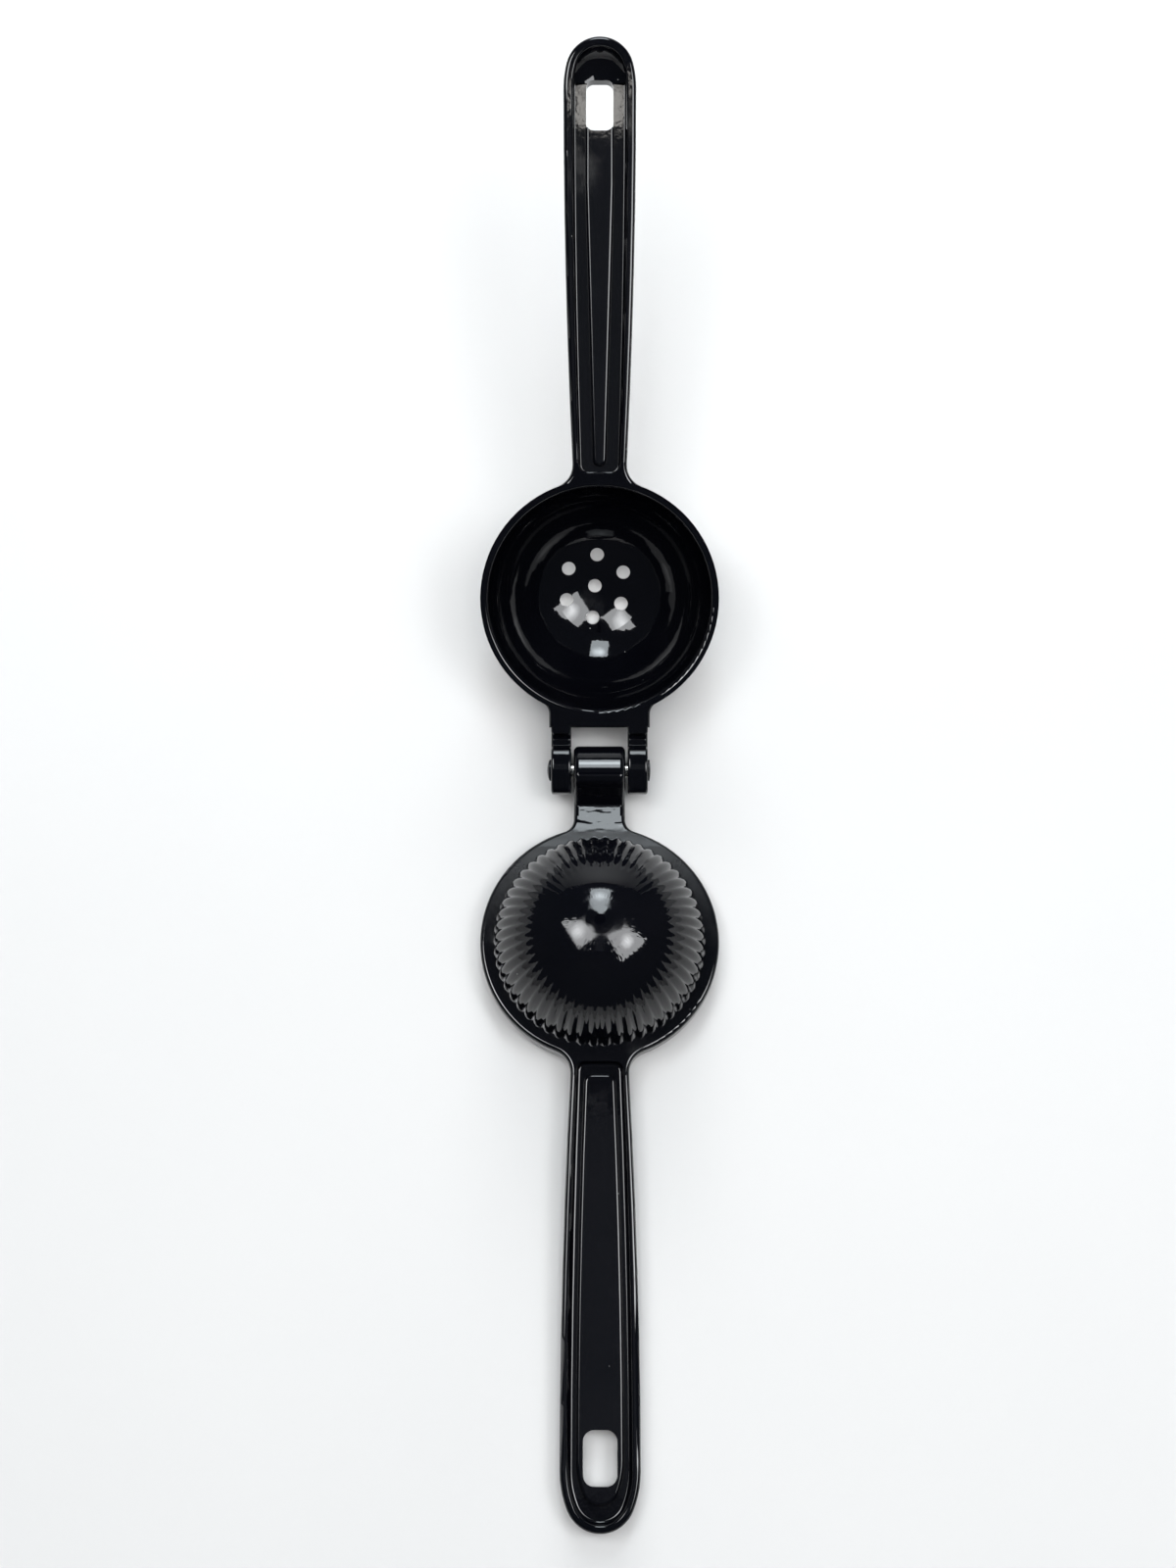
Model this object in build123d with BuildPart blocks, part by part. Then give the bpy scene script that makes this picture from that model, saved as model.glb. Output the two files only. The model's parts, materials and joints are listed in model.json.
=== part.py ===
# Hinged lemon squeezer: two cast levers on one riveted pin, lying open on a table.
import os
from math import acos, asin, atan2, cos, degrees, hypot, isclose, radians, sin, sqrt

from build123d import *

os.makedirs("parts", exist_ok=True)

# Driving sizes, in millimetres and degrees

# The hinge, and how the two levers meet
open_angle = 154.0        # between the two levers as they lie
hinge_reach = 51.2        # pin axis to the middle of the bowl, and of the dome
barrel_radius = 7.2
crown_radius = 13.0       # the knuckles are flatter on top
crown_round = 2.0
ear_drop = 2.0            # how far the crown lies below the round barrel
ear_crown_shift = -0.95   # the crown's middle along the lever
tongue_drop = 0.85
tongue_crown_shift = 1.55
rim_height = 3.0          # rim above the pin axis
closed_gap = 0.4          # rim to flange when the squeezer is shut
clevis_width = 28.6       # over both ears
slot_width = 16.7         # between the ears
slot_reach = 13.1         # pin axis to the bottom of the slot
bridge_width = 29.8
bridge_flare = 4.0
bridge_reach = 11.3       # pin axis to where the bridge's flat top ends
bridge_round = 0.7
web_height = -0.5         # the web between bridge and knuckle, above the pin axis
ramp_drop = 1.4           # the web slopes down to the bridge's step
ramp_round = 0.8
dip_round = 0.5
ear_round = 0.7
tongue_width = 15.2
tongue_flare = 4.0
tongue_start = 9.85       # pin axis to where the tongue is flat
tongue_fillet = 0.6
barrel_round = 1.5

# The rivet
pin_radius = 2.25
pin_clearance = 0.05      # radial, in the tongue
head_radius = 3.2
head_height = 0.95
head_edge = 0.55          # straight edge of a head, under its dome
washer_thickness = 0.5
washer_clearance = 0.05
peen_radius = 2.9
peen_height = 0.75
peen_edge = 0.2

# The bowl
mouth_radius = 32.7
bowl_wall = 2.3
bowl_depth = 32.0
floor_radius = 37.0       # the bowl's flatter bottom
bowl_corner = 30.4        # the round wall above it
mouth_round = 1.0
same_radius = 0.01        # two radii closer than this are one
drain_radius = 2.05
drain_ring = 9.6
drain_count = 6           # round the one in the middle
drain_turn = 4.0
drain_across = -1.3       # the pattern sits a little off the bowl's axis
drain_along = 1.3
drain_overrun = 4.0       # the cut runs on past the bowl's bottom

# The fluted dome and its flange
dome_clearance = 1.6      # dome to mouth, all round
dome_height = 26.0
dome_wall = 3.5
flange_thickness = 6.0
flange_round = 1.1
flute_count = 54
flute_depth = 0.7
flute_valley = 0.35       # share of a flute's width that its round valley takes
flute_top = 64.0          # how far up the dome the flutes run, as an angle of its ellipse
flute_fade = 0.001        # what is left of a flute on the crown, as a share of its radius
dome_top = 87.0           # where the crown is cut flat
dome_rings = 10
dome_sink = 1.0           # the dome's foot inside the flange

# Both handles
handle_bend = 4.0         # they lean apart from here on
bend_run = 5.8            # rim to the bend
root_overlap = 1.0        # a handle's blank starts this far inside its root
root_flare = 6.5
rail_round = 1.1
back_round = 3.0
lip_round = 0.9
lip_skim = 0.02           # the lip's curve ends just above the rails
panel_round = 0.9
scoop_overlap = 0.6       # the filling at a channel's end, inside its walls
channel_corner = 2.5
shoulder_radius = 28.0

# The cup's handle: a deep channel with a narrow raised panel
cup_handle_length = 120.5
cup_handle_depth = 10.0
cup_root_width = 15.9
cup_full_width = 21.0
cup_tip_radius = 9.9
cup_root_rail = 2.2
cup_full_rail = 2.9
cup_channel_depth = 6.5
cup_floor_round = 0.5
cup_channel_run = 1.8     # rim to the start of the channel
cup_panel_root = 4.0
cup_panel_width = 8.4
cup_panel_height = 2.6
cup_panel_gap = 2.0       # channel's end to the panel's
cup_panel_taper = 23.0    # the panel narrows from this far before the hole
cup_hole_width = 7.9
cup_hole_length = 15.9
cup_hole_back = 13.9      # its length at the handle's back: the wall at the tip leans
cup_hole_round = 2.2
cup_hole_inset = 18.15    # tip to the middle of the hole
scoop_radius = 11.5       # past the hole the channel's floor is a hollow ball
scoop_reach = 12.5        # tip to where it starts

# The press's handle: a shallow groove round a wide flat panel
press_handle_length = 126.5
press_handle_depth = 8.5
heel_length = 12.0        # how far the handle's back runs under the flange
press_root_width = 17.0
press_full_width = 22.7
press_tip_radius = 10.0
press_root_rail = 1.9
press_full_rail = 2.5
press_groove = 2.1
press_channel_depth = 3.4
press_floor_round = 1.0
press_channel_run = 0.8
press_panel_height = 2.4
press_panel_gap = 3.5
press_panel_tip = 5.4
press_panel_inset = 2.9   # more groove at the tip than along the sides
press_hole_width = 9.7
press_hole_length = 15.4
press_hole_round = 3.2
press_hole_inset = 20.4

# Sizes that follow
rim_radius = mouth_radius + bowl_wall
flange_radius = rim_radius
dome_radius = mouth_radius - dome_clearance
rim_reach = hinge_reach + rim_radius
bend_reach = rim_reach + bend_run
cup_channel_start = cup_channel_run - bend_run
press_channel_start = press_channel_run - bend_run
face_height = -rim_height - closed_gap
floor_outer = floor_radius + bowl_wall
corner_outer = bowl_corner + bowl_wall
corner_inset = mouth_radius - bowl_corner
corner_lift = sqrt((floor_radius - bowl_corner) ** 2 - corner_inset ** 2)
floor_edge = atan2(corner_inset, corner_lift)
bend_cos = cos(radians(handle_bend))
bend_sin = sin(radians(handle_bend))

# How it lies: on the bottom of its bowl and on the back of the press handle's tip
fold = radians(180 - open_angle)
floor_centre = rim_height - bowl_depth + floor_radius
toe_along = press_handle_length - back_round
toe_down = press_handle_depth - back_round
toe_reach = bend_reach + toe_along * bend_cos - toe_down * bend_sin
toe_drop = face_height - toe_along * bend_sin - toe_down * bend_cos


def resting_pitch(along, up, radius):
    """The cup's slope when this circle of its bowl and the press's toe both touch the table."""
    lean_sin = along + toe_reach * cos(fold) - toe_drop * sin(fold)
    lean_cos = up - toe_reach * sin(fold) - toe_drop * cos(fold)
    return asin((radius - back_round) / hypot(lean_sin, lean_cos)) - atan2(lean_cos, lean_sin)


on_floor = (hinge_reach, floor_centre, floor_outer)
on_corner = (hinge_reach - corner_inset, floor_centre - corner_lift, corner_outer)
rest = on_floor if resting_pitch(*on_floor) < floor_edge else on_corner
rest_along, rest_up, rest_radius = rest
cup_pitch = resting_pitch(rest_along, rest_up, rest_radius)
press_pitch = fold - cup_pitch
hinge_height = rest_radius - rest_along * sin(cup_pitch) - rest_up * cos(cup_pitch)

# The part is centred along its length, tip to tip
cup_slope = cup_pitch - radians(handle_bend)
press_slope = press_pitch - radians(handle_bend)
cup_end = bend_reach * cos(cup_pitch) - rim_height * sin(cup_pitch)
cup_end += (cup_handle_length - back_round) * cos(cup_slope)
cup_end += (cup_handle_depth - back_round) * sin(cup_slope) + back_round
press_end = bend_reach * cos(press_pitch) - face_height * sin(press_pitch)
press_end += (press_handle_length - rail_round) * cos(press_slope)
press_end += rail_round * sin(press_slope) + rail_round
hinge = Vector(0, (press_end - cup_end) / 2, hinge_height)

# Each lever has its own plane through the pin axis, +Y along the lever, +Z on its working side
cup_plane = Plane(origin=hinge, x_dir=(1, 0, 0), z_dir=(0, -sin(cup_pitch), cos(cup_pitch)))
press_plane = Plane(origin=hinge, x_dir=(-1, 0, 0), z_dir=(0, sin(press_pitch), cos(press_pitch)))
cup_top = cup_plane.offset(rim_height)
press_top = press_plane.offset(face_height)


def side_of(lever_plane):
    """The lever seen from the side: along the lever, and up."""
    return Plane(origin=lever_plane.origin, x_dir=lever_plane.y_dir, z_dir=lever_plane.x_dir)


def bent(lever_top):
    """The plane of a handle's rails, from the bend on."""
    start = lever_top.from_local_coords(Vector(0, bend_reach, 0))
    along = lever_top.y_dir * bend_sin + lever_top.z_dir * bend_cos
    return Plane(origin=start, x_dir=lever_top.x_dir, z_dir=along)


def handle_plan(plane, root_width, full_width, tip_radius, margin, start, length):
    """A handle's outline: straight start, one long curve each side, shoulders and a round tip.

    margin is how far this outline lies inside the handle's outer edge at the tip.
    """
    half = full_width / 2
    tip = tip_radius - margin
    shoulder = shoulder_radius - margin
    tip_centre = length - tip_radius
    shoulder_run = sqrt((shoulder - tip) ** 2 - (shoulder - half) ** 2)
    shoulder_start = tip_centre - shoulder_run
    turn = degrees(asin(shoulder_run / (shoulder - tip)))
    with BuildSketch(plane) as plan:
        with BuildLine():
            TangentArc((half, shoulder_start), (root_width / 2, start), tangent=(0, -1))
            CenterArc((half - shoulder, shoulder_start), shoulder, 0, turn)
            CenterArc((0, tip_centre), tip, turn, 90 - turn)
            mirror(about=Plane.YZ)
            Line((-root_width / 2, start), (root_width / 2, start))
        make_face()
    return plan.sketch


def channel_cut(plane, root_width, full_width, tip_radius, margin, start, length, depth, floor_round):
    """What a channel takes out of a handle: round corners and floor, and a rounded lip on the rails."""
    up = Axis(plane.origin, plane.z_dir)
    out = Axis(plane.origin, plane.y_dir)
    ledge_width = 2 * lip_round
    top = plane.offset(lip_skim)
    wide = (root_width + 2 * ledge_width, full_width + 2 * ledge_width)
    with BuildPart() as cut:
        pocket = handle_plan(top, root_width, full_width, tip_radius, margin, start, length)
        extrude(pocket, amount=-depth - lip_skim)
        fillet(cut.faces().sort_by(out)[0].edges().filter_by(up), channel_corner)
        fillet(cut.faces().sort_by(up)[0].edges(), floor_round)
        above = handle_plan(top, *wide, tip_radius, margin - ledge_width, start - ledge_width, length)
        extrude(above, amount=lip_round)
        ledge = cut.faces().filter_by(lambda face: len(face.inner_wires()) == 1)[0]
        fillet(ledge.inner_wires()[0].edges(), lip_round)
    return cut.part


def bowl_profile(plane, wall):
    """Half the bowl's section, about its axis: straight wall, round corner, flatter bottom."""
    radius = mouth_radius + wall
    bottom = floor_radius + wall
    depth = bowl_depth + wall
    corner_depth = depth - bottom + sqrt(bottom ** 2 - radius ** 2)
    with BuildSketch(plane) as section:
        with BuildLine():
            Polyline((0, -depth), (0, 0), (radius, 0), (radius, -corner_depth))
            RadiusArc((radius, -corner_depth), (0, -depth), bottom)
        make_face()
        corner = section.vertices().sort_by(Axis.X).group_by(Axis.X)[-1].sort_by(Axis.Y)[0]
        fillet(corner, bowl_corner + wall)
    return section.sketch


def knuckle(crown_shift, crown_drop):
    """A hinge knuckle seen from the side: a round barrel with a flatter crown and round shoulders."""
    crown = Vector(crown_shift, barrel_radius - crown_drop - crown_radius)
    down = crown.normalized()
    inner = barrel_radius - crown_round
    outer = crown_radius - crown_round
    along = (inner ** 2 - outer ** 2 + crown.length ** 2) / (2 * crown.length)
    across = sqrt(inner ** 2 - along ** 2)
    barrel_ends = []
    crown_ends = []
    with BuildSketch() as outline:
        with BuildLine():
            for side in (-1, 1):
                shoulder = down * along + Vector(-down.Y, down.X) * (side * across)
                to_barrel = shoulder.normalized()
                to_crown = (shoulder - crown).normalized()
                barrel_ends.append(to_barrel * barrel_radius)
                crown_ends.append(crown + to_crown * crown_radius)
                middle = shoulder + (to_barrel + to_crown).normalized() * crown_round
                ThreePointArc(barrel_ends[-1], middle, crown_ends[-1])
            ThreePointArc(barrel_ends[0], down * barrel_radius, barrel_ends[1])
            ThreePointArc(crown_ends[0], crown - down * crown_radius, crown_ends[1])
        make_face()
    return outline.sketch


# Cup handle blank, rounded before it joins the bowl
cup_bent = bent(cup_top)
with BuildPart() as cup_handle:
    blank = handle_plan(
        cup_bent,
        cup_root_width,
        cup_full_width,
        cup_tip_radius,
        margin=0,
        start=-root_overlap,
        length=cup_handle_length,
    )
    extrude(blank, amount=-cup_handle_depth)
    up = Axis(cup_bent.origin, cup_bent.z_dir)
    out = Axis(cup_bent.origin, cup_bent.y_dir)
    fillet(cup_handle.faces().sort_by(up)[-1].edges().sort_by(out)[1:], rail_round)
    fillet(cup_handle.faces().sort_by(up)[0].edges().sort_by(out)[1:], back_round)

# What the channel takes out of it
cup_channel = channel_cut(
    cup_bent,
    cup_root_width - 2 * cup_root_rail,
    cup_full_width - 2 * cup_full_rail,
    cup_tip_radius,
    cup_full_rail,
    cup_channel_start,
    cup_handle_length,
    cup_channel_depth,
    cup_floor_round,
)

# The narrow panel on the channel's floor, from the bowl to the hole
cup_hole_middle = cup_handle_length - cup_hole_inset
cup_panel_start = cup_channel_start + cup_panel_gap + cup_panel_root / 2
cup_panel_end = cup_hole_middle - (cup_hole_length - cup_hole_round) / 2
with BuildPart() as cup_panel:
    with BuildSketch(cup_bent.offset(-cup_channel_depth)):
        with BuildLine():
            Polyline(
                (cup_panel_root / 2, cup_panel_start),
                (cup_panel_width / 2, cup_hole_middle - cup_panel_taper),
                (cup_panel_width / 2, cup_panel_end),
                (-cup_panel_width / 2, cup_panel_end),
                (-cup_panel_width / 2, cup_hole_middle - cup_panel_taper),
                (-cup_panel_root / 2, cup_panel_start),
            )
            ThreePointArc(
                (-cup_panel_root / 2, cup_panel_start),
                (0, cup_panel_start - cup_panel_root / 2),
                (cup_panel_root / 2, cup_panel_start),
            )
        make_face()
    extrude(amount=cup_panel_height)
    fillet(cup_panel.faces().sort_by(up)[-1].edges(), panel_round)

# The scoop: past the hole the channel's floor curves up to the tip and to both rails
scoop_start = cup_handle_length - scoop_reach
scoop_point = cup_bent.from_local_coords(Vector(0, scoop_start, scoop_radius - cup_channel_depth))
with BuildPart() as cup_scoop:
    filling = handle_plan(
        cup_bent.offset(-cup_channel_depth - scoop_overlap),
        cup_root_width - 2 * (cup_root_rail - scoop_overlap),
        cup_full_width - 2 * (cup_full_rail - scoop_overlap),
        cup_tip_radius,
        cup_full_rail - scoop_overlap,
        cup_channel_start,
        cup_handle_length,
    )
    extrude(filling, amount=cup_channel_depth - lip_round)
    split(bisect_by=Plane(origin=scoop_point, z_dir=cup_bent.y_dir), keep=Keep.TOP)
    with Locations(scoop_point):
        Sphere(scoop_radius, mode=Mode.SUBTRACT)

# Rim, hinge bridge and handle root in one plan
with BuildPart() as cup_frame:
    with BuildSketch(cup_top) as plan:
        with Locations((0, hinge_reach)):
            Circle(rim_radius)
        with Locations((0, (slot_reach + hinge_reach) / 2)):
            Rectangle(bridge_width, hinge_reach - slot_reach)
        with Locations((0, (hinge_reach + bend_reach) / 2)):
            Rectangle(cup_root_width, bend_reach - hinge_reach)
        fillet(plan.vertices().group_by(Axis.Y)[1], bridge_flare)
        fillet(plan.vertices().group_by(Axis.Y)[-2], root_flare)
    extrude(amount=-cup_handle_depth)
    along = Axis(cup_top.origin, cup_top.y_dir)
    flats = cup_frame.faces().sort_by(Axis(cup_top.origin, cup_top.z_dir))
    fillet(flats[-1].edges().sort_by(along)[:-1], rail_round)
    fillet(flats[0].edges().sort_by(along)[:-1], back_round)

# The two ears of the hinge
ear_width = (clevis_width - slot_width) / 2
web_foot = sqrt(barrel_radius ** 2 - web_height ** 2)
ramp_top = (web_foot + bridge_reach) / 2
cup_side = side_of(cup_plane)
with BuildPart() as ears:
    for side in (-1, 1):
        with BuildSketch(cup_side.offset(side * (slot_width + ear_width) / 2)) as profile:
            add(knuckle(ear_crown_shift, ear_drop))
            Polygon(
                (0, -barrel_radius),
                (slot_reach + bridge_flare, -barrel_radius),
                (slot_reach + bridge_flare, rim_height),
                (bridge_reach, rim_height),
                (bridge_reach, web_height - ramp_drop),
                (ramp_top, web_height),
                (0, web_height),
                align=None,
            )
            fillet(profile.vertices().sort_by_distance((bridge_reach, rim_height))[0], bridge_round)
            fillet(profile.vertices().sort_by_distance((bridge_reach, web_height - ramp_drop))[0], dip_round)
            fillet(profile.vertices().sort_by_distance((ramp_top, web_height))[0], ramp_round)
            fillet(profile.vertices().sort_by_distance((web_foot, web_height))[0], dip_round)
        extrude(amount=ear_width / 2, both=True)
    fillet(ears.faces().filter_by(Axis.X).edges(), ear_round)

# The cup lever: bowl, rim, hinge ears and handle in one casting
rim_centre = cup_top.from_local_coords(Vector(0, hinge_reach, 0))
bowl_plane = Plane(origin=rim_centre, x_dir=cup_plane.x_dir, z_dir=-cup_plane.y_dir)
bowl_axis = Axis(rim_centre, cup_plane.z_dir)
with BuildPart() as cup_lever:
    add(cup_frame.part)
    add(cup_handle.part)
    add(ears.part)
    revolve(bowl_profile(bowl_plane, bowl_wall), axis=bowl_axis)
    revolve(bowl_profile(bowl_plane, 0), axis=bowl_axis, mode=Mode.SUBTRACT)
    add(cup_channel, mode=Mode.SUBTRACT)
    add(cup_panel.part)
    add(cup_scoop.part)
    with BuildSketch(cup_bent):
        with Locations((0, cup_hole_middle)):
            RectangleRounded(cup_hole_width, cup_hole_length, cup_hole_round)
    with BuildSketch(cup_bent.offset(-cup_handle_depth)):
        with Locations((0, cup_hole_middle - (cup_hole_length - cup_hole_back) / 2)):
            RectangleRounded(cup_hole_width, cup_hole_back, cup_hole_round)
    loft(mode=Mode.SUBTRACT)
    with BuildSketch(cup_top):
        with Locations((drain_across, hinge_reach + drain_along)):
            Circle(drain_radius)
            with PolarLocations(drain_ring, drain_count, start_angle=90 - drain_turn):
                Circle(drain_radius)
    extrude(amount=-bowl_depth - bowl_wall - drain_overrun, mode=Mode.SUBTRACT)
    with BuildSketch(cup_side):
        Circle(pin_radius)
    extrude(amount=clevis_width, both=True, mode=Mode.SUBTRACT)
    circles = cup_lever.edges().filter_by(GeomType.CIRCLE)
    mouth = circles.filter_by(lambda edge: isclose(edge.radius, mouth_radius, abs_tol=same_radius))
    fillet(mouth.sort_by(bowl_axis)[-1], mouth_round)

cup_lever.part.label = "cup_lever"
export_step(cup_lever.part, "parts/cup_lever.step")

# Press handle blank
press_bent = bent(press_top)
press_up = Axis(press_bent.origin, press_bent.z_dir)
press_out = Axis(press_bent.origin, press_bent.y_dir)
with BuildPart() as press_handle:
    blank = handle_plan(
        press_bent,
        press_root_width,
        press_full_width,
        press_tip_radius,
        margin=0,
        start=-root_overlap,
        length=press_handle_length,
    )
    extrude(blank, amount=-press_handle_depth)
    fillet(press_handle.faces().sort_by(press_up)[-1].edges().sort_by(press_out)[1:], rail_round)
    fillet(press_handle.faces().sort_by(press_up)[0].edges().sort_by(press_out)[1:], back_round)

# The shallow channel round its panel
press_channel = channel_cut(
    press_bent,
    press_root_width - 2 * press_root_rail,
    press_full_width - 2 * press_full_rail,
    press_tip_radius,
    press_full_rail,
    press_channel_start,
    press_handle_length,
    press_channel_depth,
    press_floor_round,
)

# The wide flat panel
with BuildPart() as press_panel:
    outline = handle_plan(
        press_bent.offset(-press_channel_depth),
        press_root_width - 2 * (press_root_rail + press_groove),
        press_full_width - 2 * (press_full_rail + press_groove),
        press_panel_tip + press_full_rail + press_groove,
        press_full_rail + press_groove,
        press_channel_start + press_panel_gap,
        press_handle_length - press_panel_inset,
    )
    extrude(outline, amount=press_panel_height)
    panel_start = press_panel.faces().sort_by(press_out)[0]
    fillet(panel_start.edges().filter_by(press_up), channel_corner)
    fillet(press_panel.faces().sort_by(press_up)[-1].edges(), panel_round)

# Flange, neck and handle root in one plan
with BuildPart() as press_frame:
    with BuildSketch(press_top) as plan:
        with Locations((0, hinge_reach)):
            Circle(flange_radius)
        with Locations((0, (slot_reach + hinge_reach) / 2)):
            Rectangle(tongue_width, hinge_reach - slot_reach)
        with Locations((0, (hinge_reach + bend_reach) / 2)):
            Rectangle(press_root_width, bend_reach - hinge_reach)
        fillet(plan.vertices().group_by(Axis.Y)[1], tongue_flare)
        fillet(plan.vertices().group_by(Axis.Y)[-2], root_flare)
    extrude(amount=-flange_thickness)
    along = Axis(press_top.origin, press_top.y_dir)
    flats = press_frame.faces().sort_by(Axis(press_top.origin, press_top.z_dir))
    fillet(flats[-1].edges().sort_by(along)[1:-1], flange_round)
    fillet(flats[0].edges().sort_by(along)[1:-1], flange_round)

# The heel: the deeper handle starts under the flange's edge
heel_start = rim_reach - heel_length
with BuildPart() as heel:
    with BuildSketch(press_top.offset(-flange_thickness / 2)):
        with Locations((0, (heel_start + bend_reach) / 2)):
            Rectangle(press_root_width, bend_reach - heel_start)
    extrude(amount=flange_thickness / 2 - press_handle_depth)
    heel_back = heel.faces().sort_by(press_up)[0].edges()
    fillet(heel_back.sort_by(press_out)[:-1], back_round)

# The tongue and its barrel, between the ears: front and back run straight off the barrel
press_side = side_of(press_plane)
flange_back = face_height - flange_thickness
back_turn = atan2(flange_back, slot_reach) - acos(barrel_radius / hypot(slot_reach, flange_back))
front_turn = atan2(face_height, tongue_start) + acos(barrel_radius / hypot(tongue_start, face_height))
with BuildPart() as tongue:
    with BuildSketch(press_side) as profile:
        add(knuckle(tongue_crown_shift, tongue_drop))
        Polygon(
            (barrel_radius * cos(back_turn), barrel_radius * sin(back_turn)),
            (slot_reach, flange_back),
            (slot_reach + tongue_flare, flange_back),
            (slot_reach + tongue_flare, face_height),
            (tongue_start, face_height),
            (barrel_radius * cos(front_turn), barrel_radius * sin(front_turn)),
            align=None,
        )
        fillet(profile.vertices().sort_by_distance((tongue_start, face_height))[0], tongue_fillet)
    extrude(amount=tongue_width / 2, both=True)
    fillet(tongue.faces().filter_by(Axis.X).edges(), barrel_round)

# The fluted dome: scalloped rings that fade into a smooth crown
dome_centre = press_top.from_local_coords(Vector(0, hinge_reach, 0))
dome_base = Plane(origin=dome_centre, x_dir=press_plane.x_dir, z_dir=press_plane.z_dir)
dome_plane = Plane(origin=dome_centre, x_dir=press_plane.x_dir, z_dir=-press_plane.y_dir)
dome_axis = Axis(dome_centre, press_plane.z_dir)
flute_pitch = 360 / flute_count


def scallops(rise):
    """A ring of the dome, this many degrees up its ellipse."""
    ridge = dome_radius * cos(radians(rise))
    depth = flute_depth * max(0, 1 - (rise / flute_top) ** 2)
    valley = ridge * (1 - flute_fade) - depth
    flank = valley + (ridge - valley) * flute_valley
    half_ridge = (1 - flute_valley) / 2
    with BuildSketch(dome_base.offset(dome_height * sin(radians(rise)))) as ring:
        with BuildLine():
            for flute in range(flute_count):
                ThreePointArc(
                    Vector(flank, 0).rotate(Axis.Z, (flute - half_ridge) * flute_pitch),
                    Vector(ridge, 0).rotate(Axis.Z, flute * flute_pitch),
                    Vector(flank, 0).rotate(Axis.Z, (flute + half_ridge) * flute_pitch),
                )
                ThreePointArc(
                    Vector(flank, 0).rotate(Axis.Z, (flute + half_ridge) * flute_pitch),
                    Vector(valley, 0).rotate(Axis.Z, (flute + 0.5) * flute_pitch),
                    Vector(flank, 0).rotate(Axis.Z, (flute + 1 - half_ridge) * flute_pitch),
                )
        make_face()
    return ring.sketch


rings = [scallops(dome_top * ring / (dome_rings - 1)) for ring in range(dome_rings)]
with BuildPart() as dome:
    loft(rings)
    extrude(rings[0], amount=-dome_sink)

# The press lever: barrel, flange, dome and handle in one casting, hollow under the dome
hollow_radius = dome_radius - dome_wall
hollow_height = dome_height - dome_wall
hollow_ball = (hollow_radius ** 2 + hollow_height ** 2) / (2 * hollow_height)
with BuildPart() as press_lever:
    add(press_frame.part)
    add(press_handle.part)
    add(heel.part)
    add(tongue.part)
    add(dome.part)
    with BuildSketch(dome_plane):
        with BuildLine():
            Polyline(
                (0, hollow_height),
                (0, -flange_thickness),
                (hollow_radius, -flange_thickness),
                (hollow_radius, 0),
            )
            RadiusArc((hollow_radius, 0), (0, hollow_height), -hollow_ball)
        make_face()
    revolve(axis=dome_axis, mode=Mode.SUBTRACT)
    add(press_channel, mode=Mode.SUBTRACT)
    add(press_panel.part)
    with BuildSketch(press_bent):
        with Locations((0, press_handle_length - press_hole_inset)):
            RectangleRounded(press_hole_width, press_hole_length, press_hole_round)
    extrude(amount=-press_handle_depth, mode=Mode.SUBTRACT)
    with BuildSketch(press_side):
        Circle(pin_radius + pin_clearance)
    extrude(amount=tongue_width, both=True, mode=Mode.SUBTRACT)

press_lever.part.label = "press_lever"
export_step(press_lever.part, "parts/press_lever.step")

# The steel rivet: a domed head on the right, the other end peened over the washer
ear_face = clevis_width / 2
peen_seat = -ear_face - washer_thickness
head_dome = head_height - head_edge
peen_dome = peen_height - peen_edge
head_ball = (head_radius ** 2 + head_dome ** 2) / (2 * head_dome)
peen_ball = (peen_radius ** 2 + peen_dome ** 2) / (2 * peen_dome)
with BuildPart() as hinge_pin:
    with BuildSketch(Plane(origin=hinge, x_dir=(1, 0, 0), z_dir=(0, 0, 1))):
        with BuildLine():
            Polyline(
                (peen_seat - peen_edge, peen_radius),
                (peen_seat, peen_radius),
                (peen_seat, pin_radius),
                (ear_face, pin_radius),
                (ear_face, head_radius),
                (ear_face + head_edge, head_radius),
            )
            RadiusArc((ear_face + head_edge, head_radius), (ear_face + head_height, 0), head_ball)
            Line((ear_face + head_height, 0), (peen_seat - peen_height, 0))
            RadiusArc((peen_seat - peen_height, 0), (peen_seat - peen_edge, peen_radius), peen_ball)
        make_face()
    revolve(axis=Axis(hinge, (1, 0, 0)))
hinge_pin.part.label = "hinge_pin"
export_step(hinge_pin.part, "parts/hinge_pin.step")

# The washer under the peened end
with BuildPart() as pin_washer:
    with BuildSketch(cup_side.offset(-ear_face)):
        Circle(head_radius)
        Circle(pin_radius + washer_clearance, mode=Mode.SUBTRACT)
    extrude(amount=-washer_thickness)
pin_washer.part.label = "pin_washer"
export_step(pin_washer.part, "parts/pin_washer.step")
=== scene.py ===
"""Lemon squeezer in gloss black enamel, lying open on a white table under three soft boxes."""
import json
from math import cos, radians, sin

import bpy
from mathutils import Matrix, Vector

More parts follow.
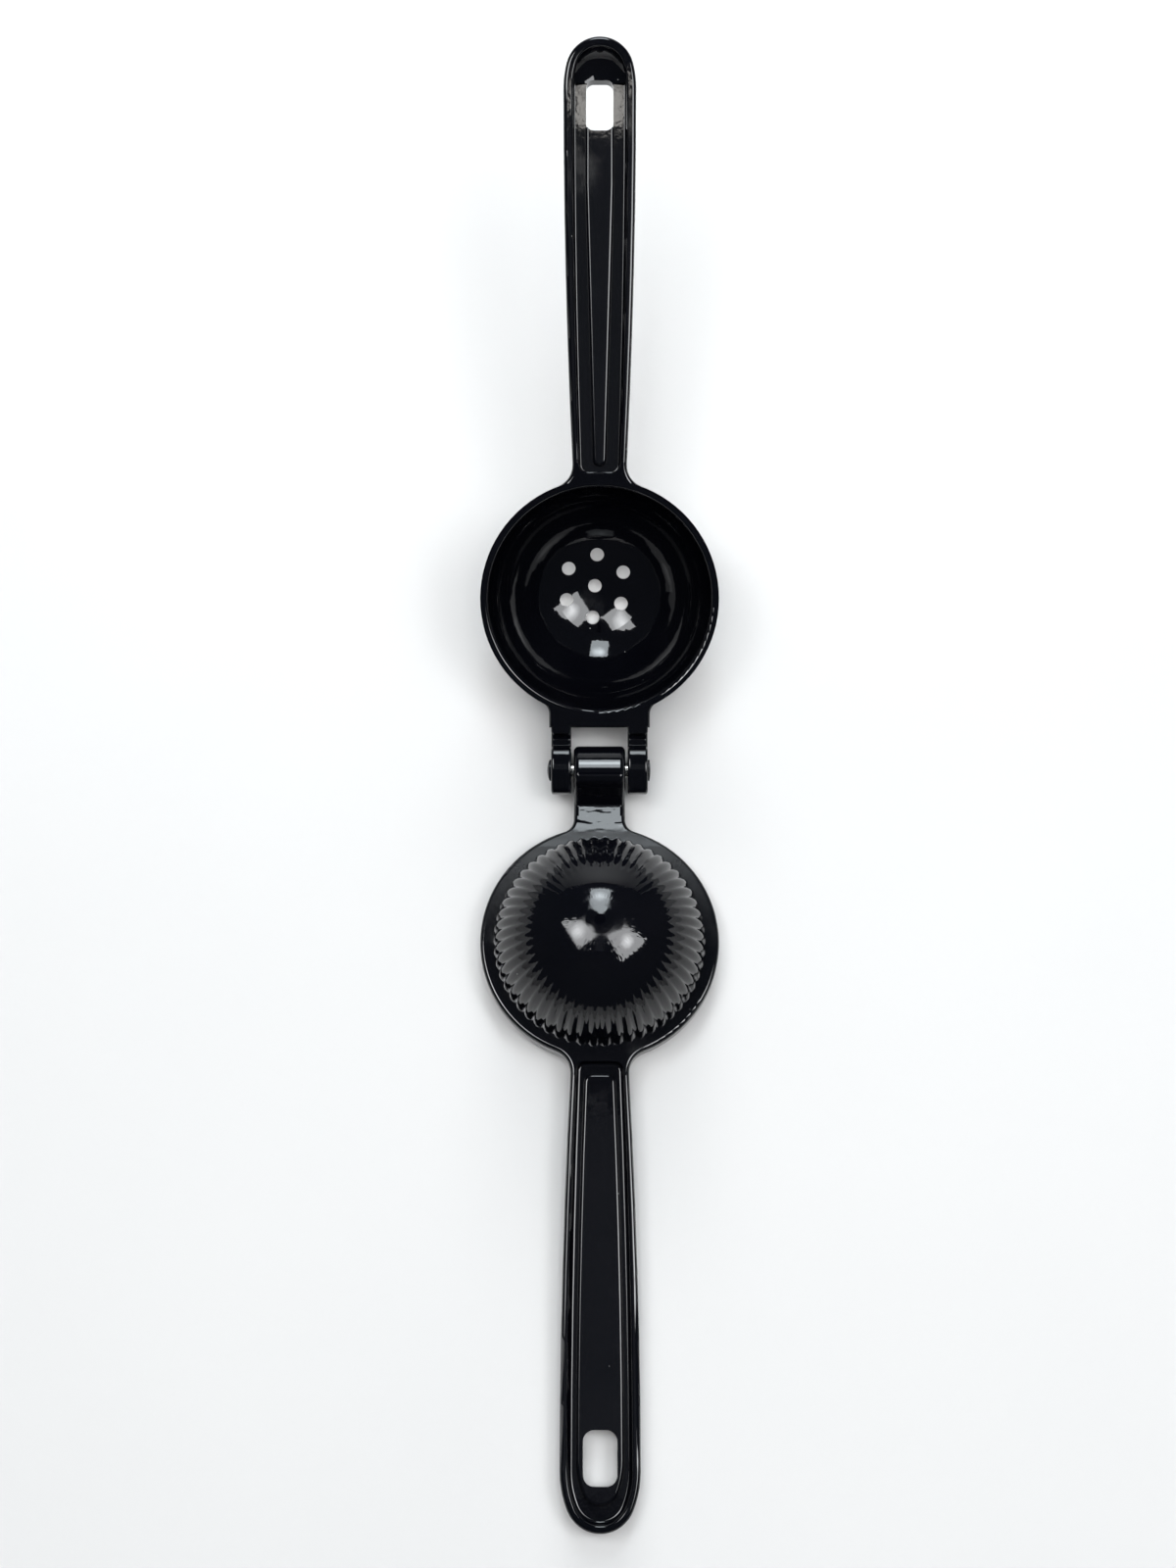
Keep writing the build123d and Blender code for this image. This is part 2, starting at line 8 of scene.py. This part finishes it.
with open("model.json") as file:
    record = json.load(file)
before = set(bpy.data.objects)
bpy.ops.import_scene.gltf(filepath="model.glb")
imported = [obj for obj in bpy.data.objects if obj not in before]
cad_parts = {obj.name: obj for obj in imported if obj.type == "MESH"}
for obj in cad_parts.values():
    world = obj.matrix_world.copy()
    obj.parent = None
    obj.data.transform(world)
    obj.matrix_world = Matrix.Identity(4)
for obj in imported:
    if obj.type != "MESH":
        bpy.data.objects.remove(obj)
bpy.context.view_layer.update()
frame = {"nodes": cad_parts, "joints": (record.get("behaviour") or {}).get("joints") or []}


# The cup lever: one aluminium casting with the bowl, its drain holes, the two hinge ears and the
# channelled handle. It is dipped in gloss black enamel, which pools a little and holds dust specks.
# The bowl was turned before it was dipped, so faint rings run round its wall.
def shader_node(tree, kind, **settings):
    node = tree.nodes.new(kind)
    for name, value in settings.items():
        setattr(node, name, value)
    return node


def new_finish(name):
    """A new material, its nodes, its main shader and the place of each point on the piece."""
    finish = bpy.data.materials.new(name)
    finish.use_nodes = True
    tree = finish.node_tree
    shader = tree.nodes["Principled BSDF"]
    place = shader_node(tree, "ShaderNodeTexCoord")
    return finish, tree, shader, place.outputs["Object"]


def noise(tree, place, scale, detail=2.0):
    texture = shader_node(tree, "ShaderNodeTexNoise")
    texture.inputs["Scale"].default_value = scale
    texture.inputs["Detail"].default_value = detail
    tree.links.new(place, texture.inputs["Vector"])
    return texture.outputs["Fac"]


def spread(tree, value, low, high, start=0.3, end=0.7):
    """Low where the value is at its start, high at its end, and even between them."""
    scaled = shader_node(tree, "ShaderNodeMapRange")
    scaled.inputs["From Min"].default_value = start
    scaled.inputs["From Max"].default_value = end
    scaled.inputs["To Min"].default_value = low
    scaled.inputs["To Max"].default_value = high
    tree.links.new(value, scaled.inputs["Value"])
    return scaled.outputs["Result"]


def reckon(tree, operation, *values):
    sum_node = shader_node(tree, "ShaderNodeMath", operation=operation)
    for socket, value in zip(sum_node.inputs, values):
        if isinstance(value, float):
            socket.default_value = value
        else:
            tree.links.new(value, socket)
    return sum_node.outputs["Value"]


def ramp(tree, value, *stops):
    band = shader_node(tree, "ShaderNodeValToRGB")
    edges = band.color_ramp.elements
    while len(edges) < len(stops):
        edges.new(0.5)
    for edge, (at, colour) in zip(edges, stops):
        edge.position = at
        edge.color = (*colour, 1.0)
    tree.links.new(value, band.inputs["Fac"])
    return band.outputs["Color"]


def mix(tree, share, first, second):
    blend = shader_node(tree, "ShaderNodeMix", data_type="RGBA")
    tree.links.new(share, blend.inputs["Factor"])
    tree.links.new(first, blend.inputs["A"])
    blend.inputs["B"].default_value = (*second, 1.0)
    return blend.outputs["Result"]


def bump(tree, height, depth, below=None):
    relief = shader_node(tree, "ShaderNodeBump")
    relief.inputs["Strength"].default_value = 1.0
    relief.inputs["Distance"].default_value = depth
    tree.links.new(height, relief.inputs["Height"])
    if below is not None:
        tree.links.new(below, relief.inputs["Normal"])
    return relief.outputs["Normal"]


def tilted(tree, place, origin, tilt, scale=(1.0, 1.0, 1.0)):
    """The surface's place as seen from this origin, in axes turned about X."""
    axes = shader_node(tree, "ShaderNodeMapping", vector_type="TEXTURE")
    axes.inputs["Location"].default_value = origin
    axes.inputs["Rotation"].default_value = (tilt, 0.0, 0.0)
    axes.inputs["Scale"].default_value = scale
    tree.links.new(place, axes.inputs["Vector"])
    return axes.outputs["Vector"]


def apart(tree, vector):
    parts = shader_node(tree, "ShaderNodeSeparateXYZ")
    tree.links.new(vector, parts.inputs["Vector"])
    return parts.outputs["X"], parts.outputs["Y"], parts.outputs["Z"]


enamel_ior = 1.52
thin_black = (0.0010, 0.0012, 0.0022)
thick_black = (0.0018, 0.0019, 0.0030)
pool_grain = 60.0         # grains are in waves per metre
speck_grain = 380.0
speck_radius = 0.055      # in cells of that grain
speck_rarity = 0.93       # the share of cells that hold none
speck_grey = (0.30, 0.30, 0.29)
smear_grain = 75.0
smear_dullness = 0.10
coat_grain = 900.0
coat_dullness = (0.030, 0.060)
run_grain = 130.0
run_depth = 0.00002
peel_grain = 700.0
peel_depth = 0.000006


def gloss_enamel(name):
    """Black gloss enamel with dust specks and wiped-over smears, and the relief of its coat."""
    finish, tree, shader, place = new_finish(name)
    shader.inputs["IOR"].default_value = enamel_ior
    pools = noise(tree, place, pool_grain, 3.0)
    depth_tone = ramp(tree, pools, (0.30, thin_black), (0.70, thick_black))
    cells = shader_node(tree, "ShaderNodeTexVoronoi")
    cells.inputs["Scale"].default_value = speck_grain
    tree.links.new(place, cells.inputs["Vector"])
    chosen, _, _ = apart(tree, cells.outputs["Color"])
    near = reckon(tree, "LESS_THAN", cells.outputs["Distance"], speck_radius)
    speck = reckon(tree, "MULTIPLY", near, reckon(tree, "GREATER_THAN", chosen, speck_rarity))
    tree.links.new(mix(tree, speck, depth_tone, speck_grey), shader.inputs["Base Color"])
    smear = spread(tree, noise(tree, place, smear_grain, 5.0), 0.0, smear_dullness, 0.56, 0.74)
    fine = spread(tree, noise(tree, place, coat_grain), *coat_dullness)
    gloss = reckon(tree, "ADD", fine, smear)
    tree.links.new(gloss, shader.inputs["Roughness"])
    runs = bump(tree, noise(tree, place, run_grain, 1.0), run_depth)
    peel = bump(tree, noise(tree, place, peel_grain, 1.0), peel_depth, runs)
    return finish, tree, shader, place, peel, gloss


hinge = Vector(frame["joints"][0]["pos_m"])
cup_tilt = radians(23.593)
rim_reach = 0.0512        # from the pin to the middle of the bowl
rim_height = 0.003        # from the pin up to the rim
mouth_radius = 0.0327
wall_top = -0.0015        # the rings start this far under the rim
ring_grain = 260.0
ring_depth = 0.00006
rim_centre = hinge + Matrix.Rotation(cup_tilt, 3, "X") @ Vector((0.0, rim_reach, rim_height))

cup_enamel, tree, shader, place, coat, _ = gloss_enamel("cup_enamel")
across, along, up = apart(tree, tilted(tree, place, rim_centre, cup_tilt))
across_square = reckon(tree, "MULTIPLY", across, across)
along_square = reckon(tree, "MULTIPLY", along, along)
from_axis = reckon(tree, "POWER", reckon(tree, "ADD", across_square, along_square), 0.5)
in_mouth = reckon(tree, "LESS_THAN", from_axis, mouth_radius)
inside = reckon(tree, "MULTIPLY", in_mouth, reckon(tree, "LESS_THAN", up, wall_top))
levels = shader_node(tree, "ShaderNodeCombineXYZ")
tree.links.new(up, levels.inputs["Z"])
turned = noise(tree, levels.outputs["Vector"], ring_grain, 1.0)
rings = reckon(tree, "MULTIPLY", turned, inside)
tree.links.new(bump(tree, rings, ring_depth, coat), shader.inputs["Normal"])

cup_lever = frame["nodes"]["cup_lever"]
cup_lever.data.materials[0] = cup_enamel

# The press lever: the second casting, with the barrel between the ears, the flange, the fluted
# dome and the shallower handle, in the same enamel. On the flat of the tongue the coat slumped
# towards the hinge in ripples, and the flat of the flange is wiped dull there.
press_tilt = radians(-2.407)
flange_face = -0.0034     # under the pin
flat_margin = 0.0002
wiped_reach = (-0.055, -0.018)      # places along the lever are measured from the pin
wiped_dullness = (0.04, 0.30)
wiped_end = (-0.0185, -0.0165)
ripple_start = (-0.0205, -0.0180)
ripple_end = (-0.0105, -0.0095)
ripple_size = (0.0052, 0.0021, 0.0052)
ripple_depth = 0.00010
tongue_root = -0.0225
slump_end = (-0.0080, -0.0050)
slump_lean = 0.065

press_enamel, tree, shader, place, coat, gloss = gloss_enamel("press_enamel")
_, along, up = apart(tree, tilted(tree, place, hinge, press_tilt))
off_flat = reckon(tree, "ABSOLUTE", reckon(tree, "SUBTRACT", up, flange_face))
on_flat = reckon(tree, "LESS_THAN", off_flat, flat_margin)
towards_hinge = spread(tree, along, *wiped_dullness, *wiped_reach)
wiped = reckon(tree, "MULTIPLY", towards_hinge, spread(tree, along, 1.0, 0.0, *wiped_end))
dull = reckon(tree, "MULTIPLY", on_flat, wiped)
tree.links.new(reckon(tree, "ADD", gloss, dull), shader.inputs["Roughness"])

past_flange = spread(tree, along, 0.0, 1.0, *ripple_start)
on_tongue = reckon(tree, "MULTIPLY", past_flange, spread(tree, along, 1.0, 0.0, *ripple_end))
sags = noise(tree, tilted(tree, place, hinge, press_tilt, ripple_size), 1.0, 1.0)
ripples = reckon(tree, "MULTIPLY", sags, on_tongue)
to_hinge = reckon(tree, "MINIMUM", reckon(tree, "SUBTRACT", tongue_root, along), 0.0)
slump = reckon(tree, "MULTIPLY", to_hinge, spread(tree, along, 1.0, 0.0, *slump_end))
rippled = bump(tree, ripples, ripple_depth, coat)
tree.links.new(bump(tree, slump, slump_lean, rippled), shader.inputs["Normal"])

press_lever = frame["nodes"]["press_lever"]
press_lever.data.materials[0] = press_enamel

# The rivet: a steel pin pressed through both ears, headed at one end and peened over at the other.
# Outside the ears its two ends are coloured black and not metallic; between the ears it is bare
# steel.
ear_face = 0.0142         # from the middle of the hinge to the outside of an ear
dark_steel = (0.42, 0.41, 0.39)
bright_steel = (0.66, 0.65, 0.62)
end_black = (0.010, 0.010, 0.012)
pin_specular = 0.12
grime_grain = 900.0
scuff_grain = 2500.0
scuff_dullness = (0.12, 0.28)
least_dullness = 0.06
steel_grain = 3500.0
steel_depth = 0.000008

steel, tree, shader, place = new_finish("rivet_steel")
across, _, _ = apart(tree, place)
# Black, non-metallic colour outside the ears; bare steel between them.
past_ears = reckon(tree, "GREATER_THAN", reckon(tree, "ABSOLUTE", across), ear_face)
grime = noise(tree, place, grime_grain, 4.0)
bare = ramp(tree, grime, (0.35, dark_steel), (0.65, bright_steel))
tree.links.new(mix(tree, past_ears, bare, end_black), shader.inputs["Base Color"])
worn = spread(tree, past_ears, 1.0, 0.0, 0.0, 1.0)
scratched = spread(tree, noise(tree, place, scuff_grain), *scuff_dullness)
scuffs = reckon(tree, "MULTIPLY", worn, scratched)
tree.links.new(worn, shader.inputs["Metallic"])
shader.inputs["Specular IOR Level"].default_value = pin_specular
tree.links.new(reckon(tree, "ADD", scuffs, least_dullness), shader.inputs["Roughness"])
rough_skin = bump(tree, noise(tree, place, steel_grain), steel_depth)
tree.links.new(rough_skin, shader.inputs["Normal"])
frame["nodes"]["hinge_pin"].data.materials[0] = steel

# The washer: a thin stamped steel ring, held under the peened end of the rivet.
# It sits outside the ear, so the pin's material colours it black too.
frame["nodes"]["pin_washer"].data.materials[0] = steel


# The table and the paper behind it: one white sheet that lies flat and rises in a curve at the
# far end, with low white cards along the other three sides.
paper_shade = (0.565, 0.563, 0.560)
paper_white = (0.580, 0.577, 0.573)
paper_grain = 6.0
paper, tree, shader, place = new_finish("white_paper")
paper_tone = ramp(tree, noise(tree, place, paper_grain), (0.3, paper_shade), (0.7, paper_white))
tree.links.new(paper_tone, shader.inputs["Base Color"])
shader.inputs["Roughness"].default_value = 0.7
shader.inputs["Specular IOR Level"].default_value = 0.2


def paper_strip(name, path, width):
    """A white sheet of this width that follows these points (y, z)."""
    mesh = bpy.data.meshes.new(name)
    corners = []
    for y, z in path:
        corners += [(-width / 2, y, z), (width / 2, y, z)]
    strips = [(2 * n, 2 * n + 1, 2 * n + 3, 2 * n + 2) for n in range(len(path) - 1)]
    mesh.from_pydata(corners, [], strips)
    for strip in mesh.polygons:
        strip.use_smooth = True
    mesh.materials.append(paper)
    sheet = bpy.data.objects.new(name, mesh)
    bpy.context.scene.collection.objects.link(sheet)
    return sheet


table_width = 2.2
table_start = -1.30
table_end = 0.95
curve_radius = 0.45
paper_top = 1.10
near_card_height = 0.26
side_card_height = 0.30
side_card_length = 2.6

sweep_path = [(table_start, 0.0), (table_end, 0.0)]
for degrees in range(10, 91, 10):
    turn = radians(degrees)
    sweep_path.append((table_end + curve_radius * sin(turn), curve_radius * (1 - cos(turn))))
sweep_path.append((table_end + curve_radius, paper_top))
paper_strip("table_sweep", sweep_path, table_width)
paper_strip("near_card", [(table_start, 0.0), (table_start, near_card_height)], table_width)
for side in (-1, 1):
    side_card = paper_strip("side_card", [(0.0, 0.0), (0.0, side_card_height)], side_card_length)
    side_card.location = (side * table_width / 2, 0.0, 0.0)
    side_card.rotation_euler = (0.0, 0.0, radians(90))


# Three soft boxes hang over the table in a dark room, one beyond the cup's handle and one on each
# side. Each glows most in the middle. The camera doesn't see them, but the gloss does.
box_height = 1.10
hot_reach = 0.02          # from the middle of a box, where it glows most
even_reach = 0.17         # and where its even glow starts


def glowing_panel(name, corners, colour, height=box_height):
    """A flat panel through these corners, and the shader that sets how it glows."""
    middle = sum((Vector(corner) for corner in corners), Vector((0.0, 0.0))) / len(corners)
    points = [(x - middle.x, y - middle.y, 0.0) for x, y in corners]
    mesh = bpy.data.meshes.new(name)
    mesh.from_pydata(points, [], [range(len(corners))])
    finish, tree, shader, place = new_finish(name)
    shader.inputs["Base Color"].default_value = (0.0, 0.0, 0.0, 1.0)
    shader.inputs["Emission Color"].default_value = (*colour, 1.0)
    mesh.materials.append(finish)
    panel = bpy.data.objects.new(name, mesh)
    panel.location = (middle.x, middle.y, height)
    panel.visible_camera = False
    bpy.context.scene.collection.objects.link(panel)
    return tree, shader, place


def soft_box(name, corners, even, hot, colour):
    tree, shader, place = glowing_panel(name, corners, colour)
    reach = shader_node(tree, "ShaderNodeVectorMath", operation="LENGTH")
    tree.links.new(place, reach.inputs[0])
    glow = spread(tree, reach.outputs["Value"], hot, even, hot_reach, even_reach)
    tree.links.new(glow, shader.inputs["Emission Strength"])


cool = (0.87, 0.95, 1.0)
white = (0.96, 0.98, 1.0)
far_corners = [(-0.16, 0.50), (0.135, 0.47), (0.25, 1.12), (-0.20, 1.12)]
left_corners = [(-0.77, 0.30), (-0.39, -0.26), (-0.04, 0.00), (-0.31, 0.28)]
right_corners = [(0.11, 0.00), (0.44, -0.50), (1.06, -0.09), (0.46, 0.19)]
soft_box("far_soft_box", far_corners, 7.4, 17.5, cool)
soft_box("left_soft_box", left_corners, 7.2, 17.5, white)
soft_box("right_soft_box", right_corners, 6.8, 18.0, white)

# A patch of the ceiling over the handles glows faintly.
ceiling_corners = [(-0.07, -0.27), (0.08, -0.27), (0.08, -0.01), (-0.07, -0.01)]
ceiling_glow = 0.16
_, shader, _ = glowing_panel("ceiling_patch", ceiling_corners, (0.80, 0.87, 1.0))
shader.inputs["Emission Strength"].default_value = ceiling_glow

# A small lamp in a snoot of black card shines only on the end of the cup's channel.
lamp_corners = [(-0.010, 0.087), (0.015, 0.087), (0.015, 0.109), (-0.010, 0.109)]
lamp_height = 0.60
lamp_glow = 6.5
warm = (1.0, 0.97, 0.92)
snoot_length = 0.12
snoot_lean = 0.18
card_grain = 40.0
_, shader, _ = glowing_panel("snoot_lamp", lamp_corners, warm, lamp_height)
shader.inputs["Emission Strength"].default_value = lamp_glow
black_card, tree, shader, place = new_finish("black_card")
shader.inputs["Roughness"].default_value = 0.9
shader.inputs["Specular IOR Level"].default_value = 0.0
card_weave = noise(tree, place, card_grain)
card_tone = ramp(tree, card_weave, (0.3, (0.004, 0.004, 0.004)), (0.7, (0.006, 0.006, 0.006)))
tree.links.new(card_tone, shader.inputs["Base Color"])

snoot_mouth = lamp_height - snoot_length
snoot_points = [(x, y, lamp_height) for x, y in lamp_corners]
snoot_points += [(x, y + snoot_lean * snoot_length, snoot_mouth) for x, y in lamp_corners]
snoot_sides = [(n, (n + 1) % 4, (n + 1) % 4 + 4, n + 4) for n in range(4)]
snoot_mesh = bpy.data.meshes.new("snoot")
snoot_mesh.from_pydata(snoot_points, [], snoot_sides)
snoot_mesh.materials.append(black_card)
snoot = bpy.data.objects.new("snoot", snoot_mesh)
snoot.visible_camera = False
bpy.context.scene.collection.objects.link(snoot)


# Three fill lights that no gloss shows: a low one beyond the handle, one on the paper and one
# overhead. The room gives a faint blue light of its own.
def fill_light(name, place, turn, size, power):
    lamp = bpy.data.lights.new(name, "AREA")
    lamp.shape = "RECTANGLE"
    lamp.size, lamp.size_y = size
    lamp.energy = power
    light = bpy.data.objects.new(name, lamp)
    light.location = place
    light.rotation_euler = (radians(turn), 0.0, 0.0)
    light.visible_glossy = False
    bpy.context.scene.collection.objects.link(light)


fill_light("table_fill", (0.0, 0.92, 0.36), -65.0, (0.6, 0.3), 8.5)
fill_light("paper_fill", (0.0, 0.90, 0.90), 100.0, (0.6, 0.4), 1.5)
fill_light("overhead_fill", (0.0, -0.20, 1.35), 0.0, (0.5, 0.5), 12.5)

room = bpy.data.worlds.new("dark_room")
room.use_nodes = True
room_light = room.node_tree.nodes["Background"]
room_light.inputs["Color"].default_value = (0.78, 0.88, 1.0, 1.0)
room_light.inputs["Strength"].default_value = 0.055
bpy.context.scene.world = room

# The camera looks down on the squeezer from the press handle's side.
camera_place = (-0.0034, -0.1923, 0.7713)
camera_tilt = radians(14.59)
lens = bpy.data.cameras.new("camera")
lens.sensor_width = 36.0
lens.lens = 60.75
lens.clip_start = 0.05
camera = bpy.data.objects.new("camera", lens)
camera.location = camera_place
camera.rotation_euler = (camera_tilt, 0.0, 0.0)
bpy.context.scene.collection.objects.link(camera)
bpy.context.scene.camera = camera
bpy.context.scene.view_settings.view_transform = "Standard"
